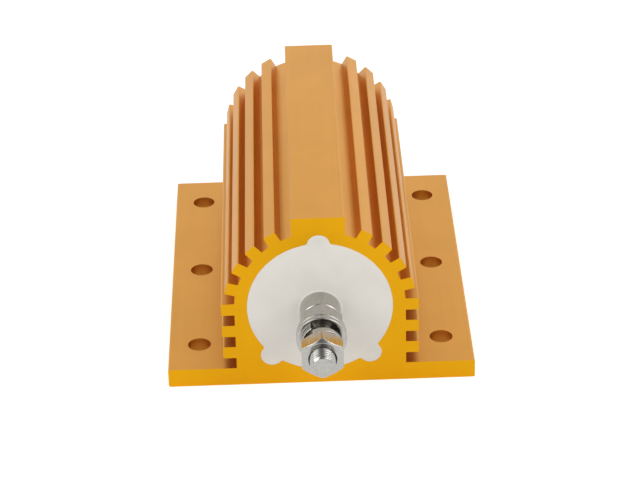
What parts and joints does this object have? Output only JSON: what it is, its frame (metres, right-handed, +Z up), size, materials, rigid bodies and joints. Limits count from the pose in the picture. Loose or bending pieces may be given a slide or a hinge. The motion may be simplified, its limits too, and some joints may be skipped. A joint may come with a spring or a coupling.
{
  "type": "aluminium housed power resistor",
  "caption": "Finned aluminium extrusion on a drilled mounting base. White cement seals a wire-wound ceramic core in its bore, and a threaded stud with nuts and washers leaves each end.",
  "frame": {"origin": "middle of the housing's underside", "axes": "+Z up from the mounting face, Y along the bore with the front terminal towards -Y, +X to the right seen from the front terminal"},
  "size_m": [0.1, 0.1994, 0.0613],
  "materials": {
    "gold_anodised_aluminium": "satin",
    "white_cement": "matte",
    "steatite": "matte",
    "resistance_wire": "satin",
    "plain_steel": "satin",
    "nickel_plated_steel": "gloss"
  },
  "bodies": {
    "root": {"housing": "gold_anodised_aluminium", "filling_compound": "white_cement", "ceramic_core": "steatite", "resistance_winding": "resistance_wire", "front_end_cap": "plain_steel", "rear_end_cap": "plain_steel", "front_terminal_stud": "nickel_plated_steel", "rear_terminal_stud": "nickel_plated_steel", "front_seat_nut": "nickel_plated_steel", "rear_seat_nut": "nickel_plated_steel", "front_inner_washer": "nickel_plated_steel", "rear_inner_washer": "nickel_plated_steel", "front_outer_washer": "nickel_plated_steel", "rear_outer_washer": "nickel_plated_steel", "front_spring_washer": "nickel_plated_steel", "rear_spring_washer": "nickel_plated_steel", "front_terminal_nut": "nickel_plated_steel", "rear_terminal_nut": "nickel_plated_steel"}
  },
  "joints": []
}
